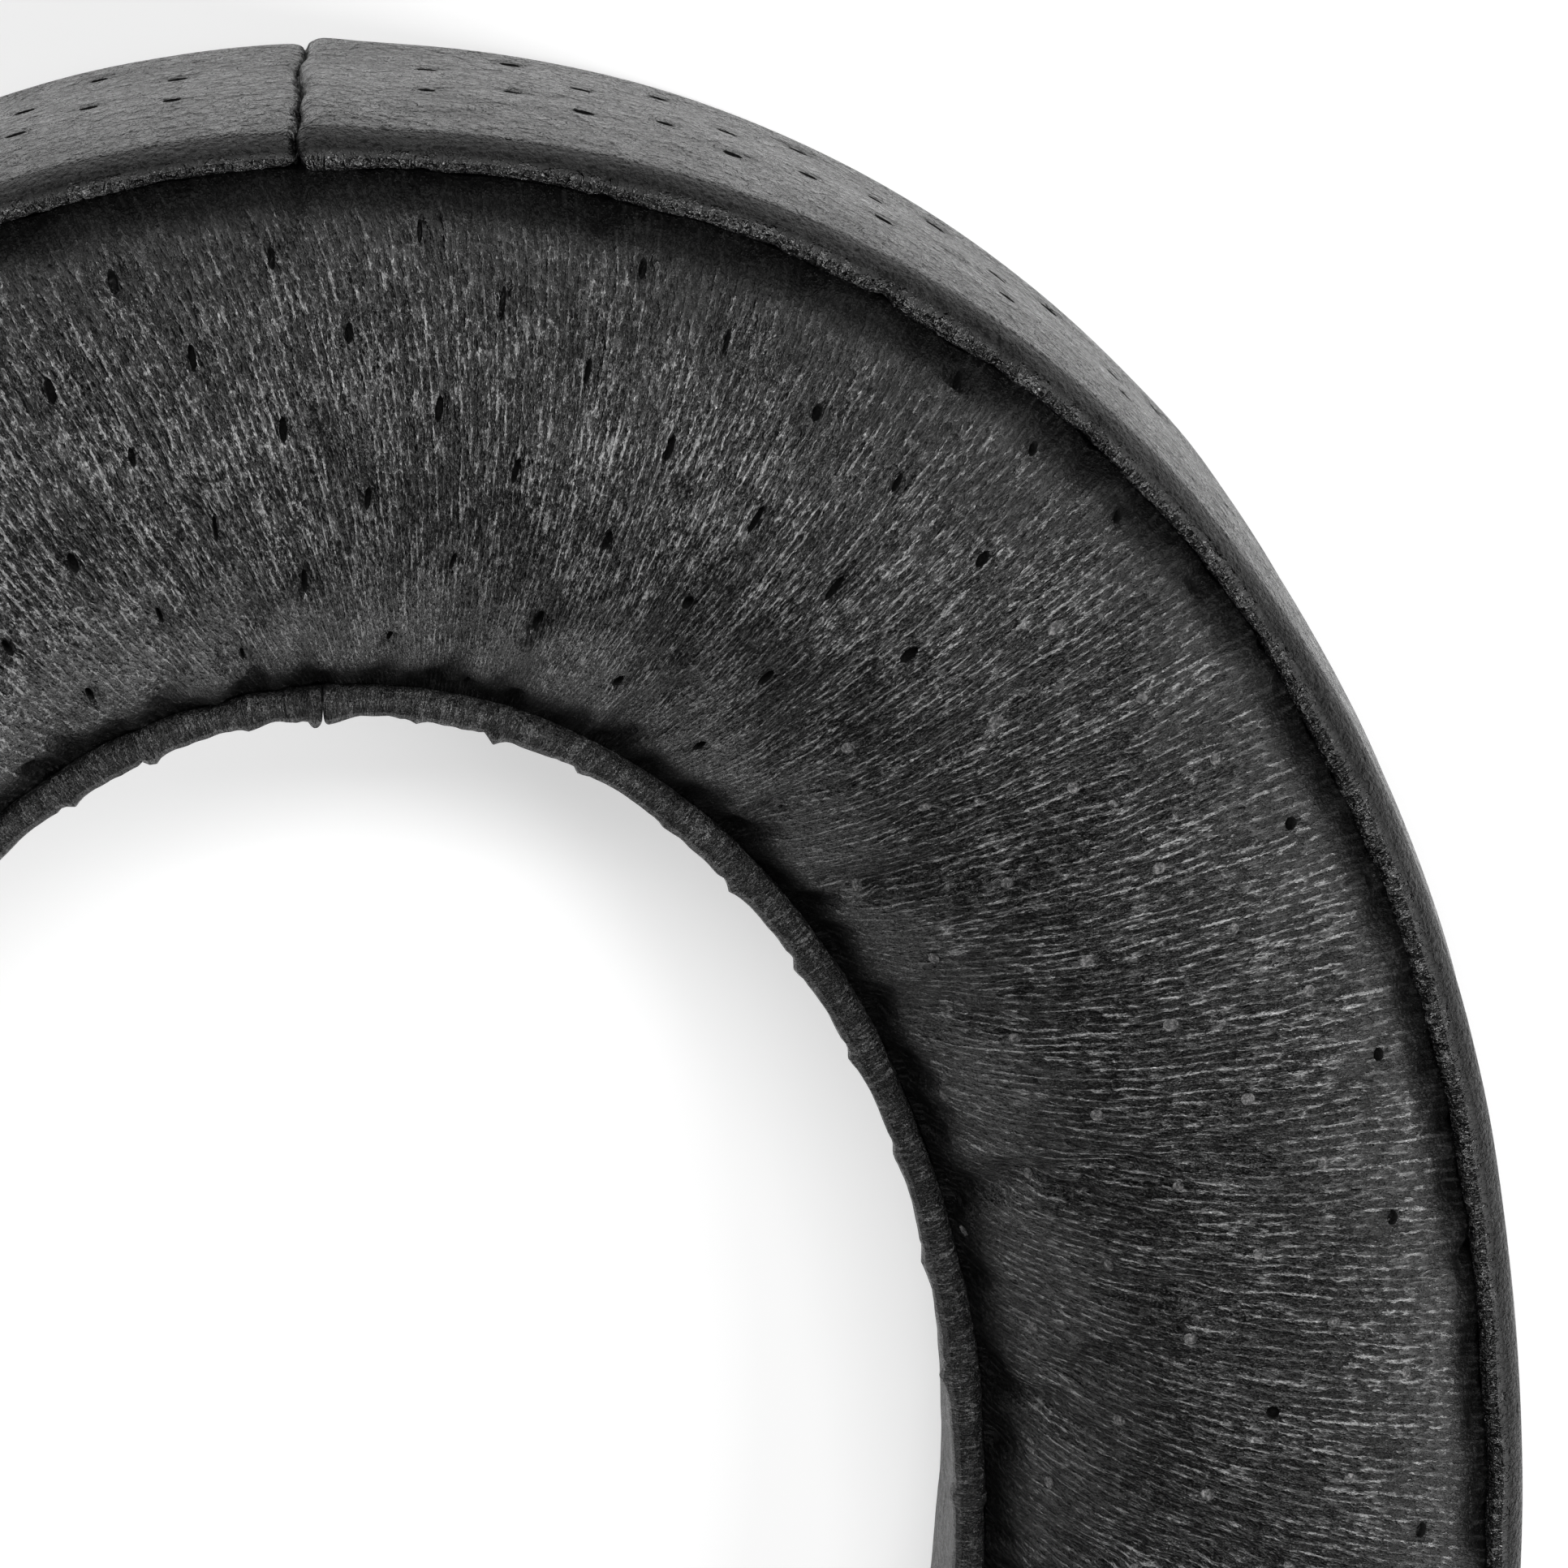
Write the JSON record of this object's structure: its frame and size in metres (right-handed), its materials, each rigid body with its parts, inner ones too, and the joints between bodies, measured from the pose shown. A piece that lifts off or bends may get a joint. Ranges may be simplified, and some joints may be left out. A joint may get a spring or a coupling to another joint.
{
  "type": "headphone ear pad",
  "caption": "Oval over-ear headphone ear pad: angled foam ring wrapped in perforated black leather, with a stretch mounting lip.",
  "frame": {"origin": "centre of the pad's outline, on the plane of its mounting side, which the pad lies on", "axes": "+Z from the mounting side towards the face that meets the head; +Y along the oval's long axis, towards the wall's butt seam; +X along the short axis, towards the thin side of the angled face"},
  "size_m": [0.0908, 0.1104, 0.0264],
  "materials": {
    "face_leather": "soft black perforated sheepskin, fine wrinkles, satin",
    "wall_leather": "black perforated sheepskin, fine grain, satin",
    "lining_leather": "thin black lining leather, matt",
    "lip_leatherette": "thin black stretch leatherette, matt",
    "back_fabric": "black knitted backing fabric",
    "foam": "grey memory foam, fine open cells",
    "thread": "black bonded polyester thread"
  },
  "bodies": {
    "root": {"foam_core": "foam", "face_panel": "face_leather", "outer_band": "wall_leather", "inner_band": "lining_leather", "back_panel": "back_fabric", "mounting_lip": "lip_leatherette", "outer_seam_thread": "thread", "inner_seam_thread": "thread", "base_seam_thread": "thread", "back_seam_thread": "thread", "outer_butt_thread": "thread", "inner_butt_thread": "thread"}
  },
  "joints": []
}
